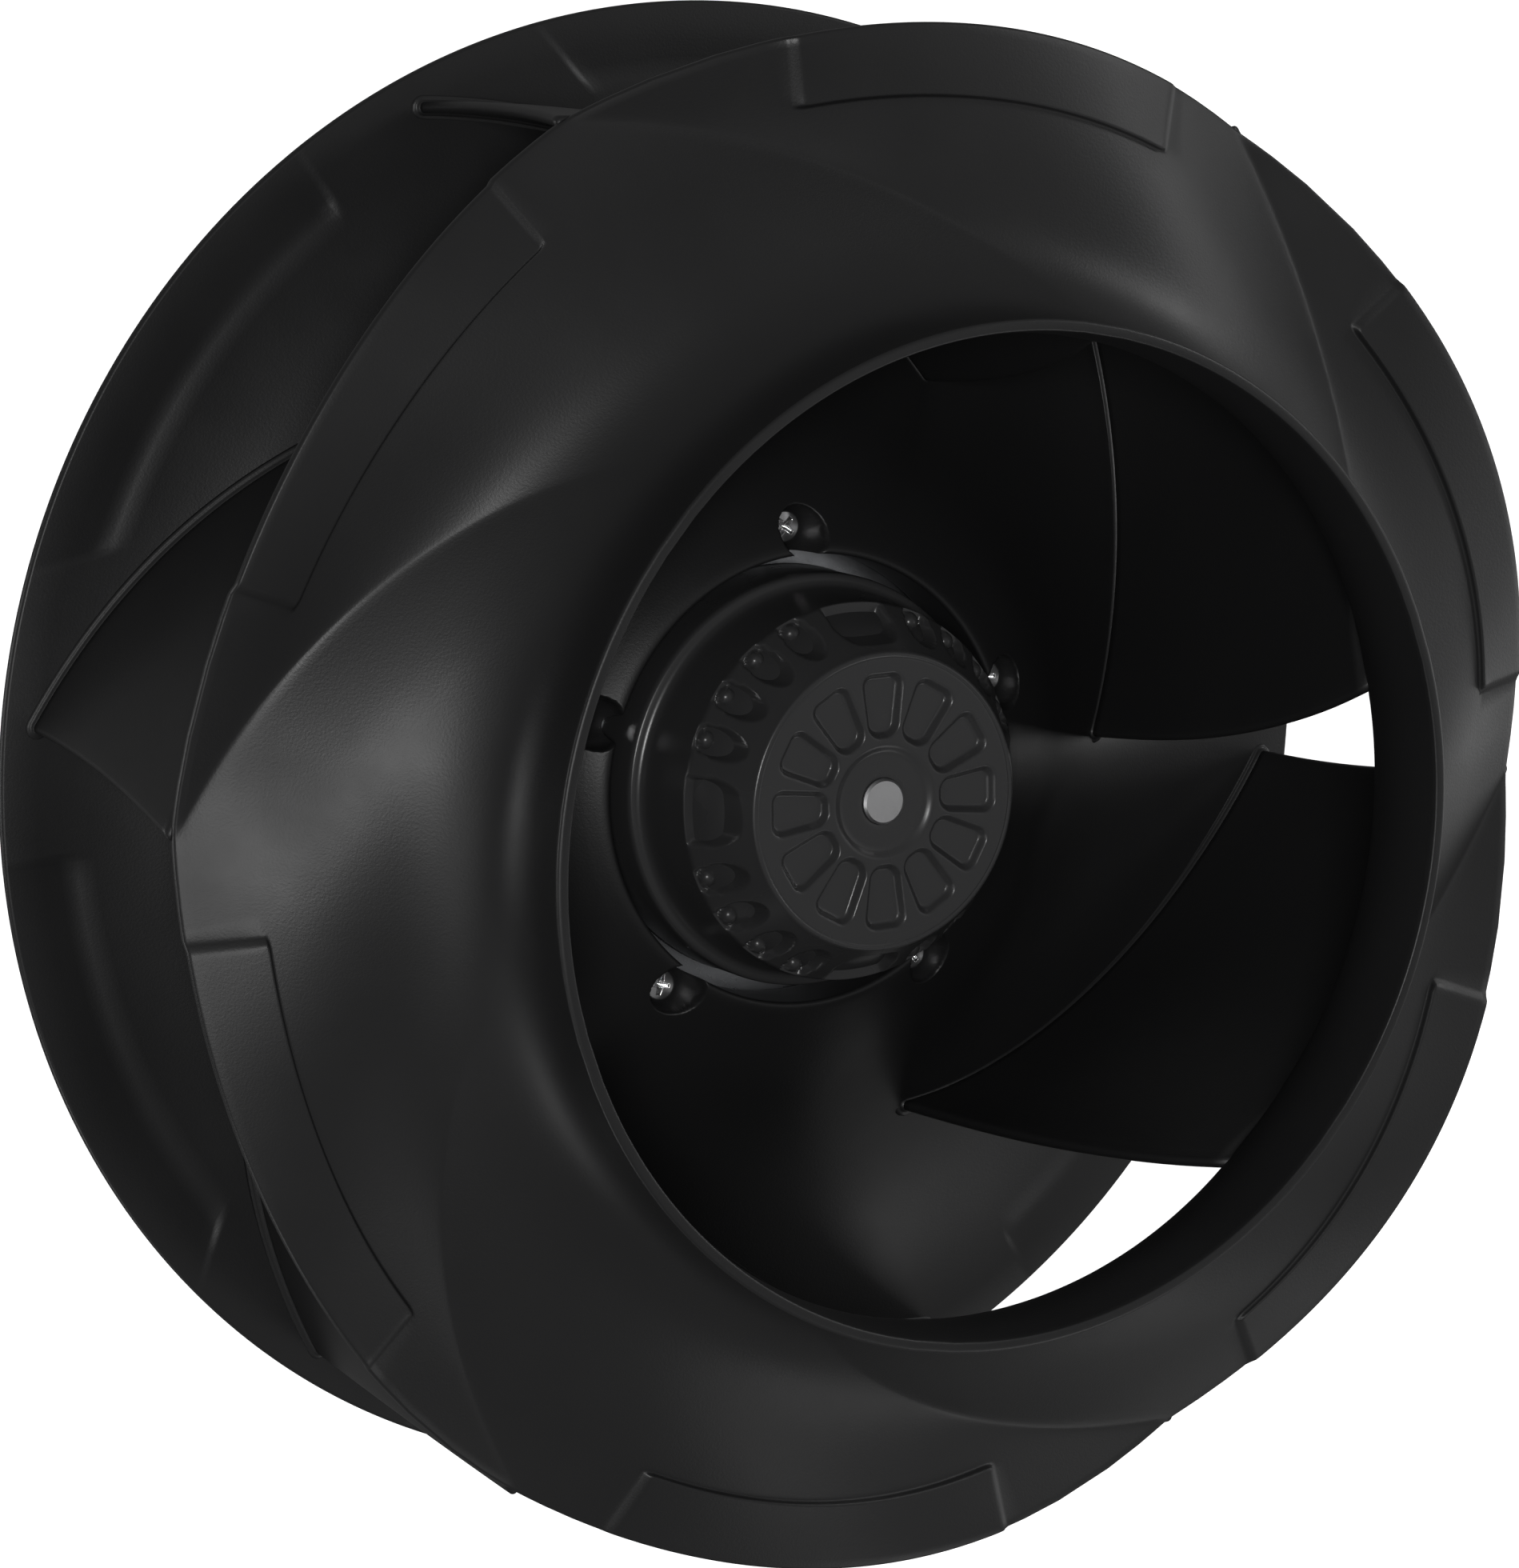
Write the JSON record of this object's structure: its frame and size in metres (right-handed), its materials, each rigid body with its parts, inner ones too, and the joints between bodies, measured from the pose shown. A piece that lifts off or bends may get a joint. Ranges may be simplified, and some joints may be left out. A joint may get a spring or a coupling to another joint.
{
  "type": "centrifugal fan impeller with external rotor motor",
  "caption": "Backward-curved centrifugal fan impeller with a sculpted inlet shroud, a dished back disc and an external rotor motor in its hub.",
  "frame": {"origin": "centre of the motor's rear mounting face", "axes": "+Z along the fan axis from the mounting face toward the inlet; +X points away from the side the picture is taken from"},
  "size_m": [0.4, 0.4, 0.179],
  "materials": {
    "impeller_plastic": "fine-grained fibre-filled black moulding",
    "rotor_metal": "black semi-gloss coating on a die casting",
    "zinc_steel": "galvanised",
    "screw_steel": "bright zinc plated",
    "shaft_steel": "turned and faced",
    "spring_steel": "oiled",
    "bearing_steel": "ground",
    "core_steel": "laminated",
    "magnet": "sintered",
    "copper": "enamelled wire",
    "insulator": "natural",
    "cast_aluminium": "die cast",
    "cover_plastic": "grained black",
    "gland_plastic": "black",
    "rubber": "soft",
    "board": "laminate",
    "capacitor": "sleeved",
    "module": "moulded"
  },
  "bodies": {
    "motor": {"motor_flange": "cast_aluminium", "rear_cover": "cover_plastic", "cover_gasket": "rubber", "cover_screws": "screw_steel", "cable_gland": "gland_plastic", "circuit_board": "board", "board_screws": "screw_steel", "board_capacitors": "capacitor", "power_module": "module", "stator_core": "core_steel", "front_insulator": "insulator", "rear_insulator": "insulator", "windings": "copper", "front_bearing_outer_ring": "bearing_steel", "rear_bearing_outer_ring": "bearing_steel", "preload_spring": "spring_steel"},
    "impeller": {"shroud_and_blades": "impeller_plastic", "back_disc": "impeller_plastic", "mounting_ring": "zinc_steel", "impeller_screws": "screw_steel", "rotor_housing": "rotor_metal", "rotor_yoke": "core_steel", "rotor_magnets": "magnet", "shaft": "shaft_steel", "shaft_circlip": "spring_steel", "front_bearing_inner_ring": "bearing_steel", "rear_bearing_inner_ring": "bearing_steel"}
  },
  "joints": [
    {"name": "impeller_spin", "type": "hinge", "parent": "motor", "child": "impeller", "pos_m": [0, 0, 0.06], "axis": [0, 0, 1], "continuous": true}
  ]
}
